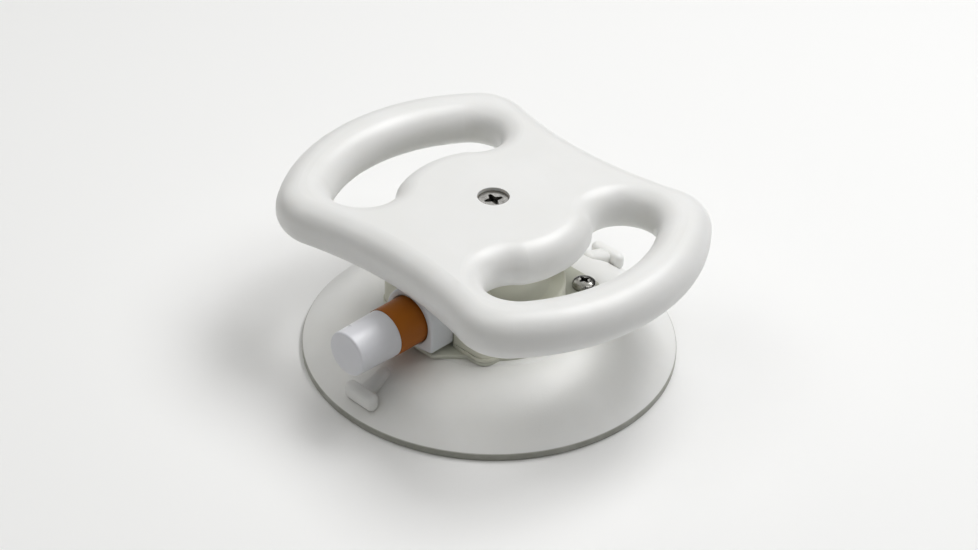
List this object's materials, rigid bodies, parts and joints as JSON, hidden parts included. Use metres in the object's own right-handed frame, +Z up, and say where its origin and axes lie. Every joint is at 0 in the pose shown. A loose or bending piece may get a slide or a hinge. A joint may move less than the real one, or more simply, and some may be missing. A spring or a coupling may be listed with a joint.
{
  "type": "suction grab bar",
  "caption": "White two-loop hand grip on a vacuum pump housing and a round rubber suction cup, with a thumb plunger whose orange band shows the vacuum.",
  "frame": {"origin": "centre of the suction cup's sealing face, on the central screw's axis", "axes": "+Z up through the handle, +X along the handle's length, plunger's thumb end towards -Y"},
  "size_m": [0.172, 0.1545, 0.0711],
  "materials": {
    "handle_plastic": "satin moulded",
    "screw_steel": "bright, slightly tarnished",
    "cream_plastic": "fine moulded texture",
    "flange_plastic": "fine moulded texture",
    "barrel_plastic": "smooth moulded",
    "cap_plastic": "smooth moulded",
    "band_orange": "smooth moulded",
    "tube_plastic": "smooth moulded",
    "guide_plastic": "moulded",
    "valve_plastic": "moulded",
    "seal_rubber": "smooth",
    "spring_steel": "drawn wire",
    "pad_rubber": "smooth, slightly dusty",
    "core_plastic": "moulded",
    "insert_brass": "machined",
    "filter_felt": "felt"
  },
  "bodies": {
    "base": {"handle": "handle_plastic", "handle_screw": "screw_steel", "pump_housing": "cream_plastic", "base_flange": "flange_plastic", "flange_screws": "screw_steel", "housing_screws": "screw_steel", "pump_barrel": "barrel_plastic", "plunger_guide": "guide_plastic", "stop_ring": "seal_rubber", "valve_block": "guide_plastic", "barrel_plug": "guide_plastic", "valve_block_seal": "seal_rubber", "port_seal": "seal_rubber", "port_tube": "insert_brass", "suction_pad": "pad_rubber", "pad_core": "core_plastic", "core_inserts": "insert_brass", "handle_insert": "insert_brass", "inlet_filter": "filter_felt", "filter_retainer": "guide_plastic", "inlet_valve_spring": "spring_steel"},
    "plunger": {"plunger_cap": "cap_plastic", "indicator_band": "band_orange", "plunger_tube": "tube_plastic", "piston_head": "tube_plastic", "piston_seal": "seal_rubber", "return_spring": "spring_steel", "exhaust_valve_spring": "spring_steel"},
    "exhaust_poppet": {"exhaust_valve": "valve_plastic"},
    "inlet_poppet": {"inlet_valve": "valve_plastic"}
  },
  "joints": [
    {"name": "plunger_slide", "type": "slide", "parent": "base", "child": "plunger", "axis": [0, 1, 0], "range_m": [0, 0.028], "stiffness_N_per_m": 400, "springref_m": -0.02, "deforming": ["return_spring"]},
    {"name": "exhaust_valve_lift", "type": "slide", "parent": "plunger", "child": "exhaust_poppet", "axis": [0, -1, 0], "range_m": [0, 0.001], "stiffness_N_per_m": 30, "springref_m": -0.001, "deforming": ["exhaust_valve_spring"]},
    {"name": "inlet_valve_lift", "type": "slide", "parent": "base", "child": "inlet_poppet", "axis": [0, -1, 0], "range_m": [0, 0.001], "stiffness_N_per_m": 30, "springref_m": -0.001, "deforming": ["inlet_valve_spring"]}
  ]
}
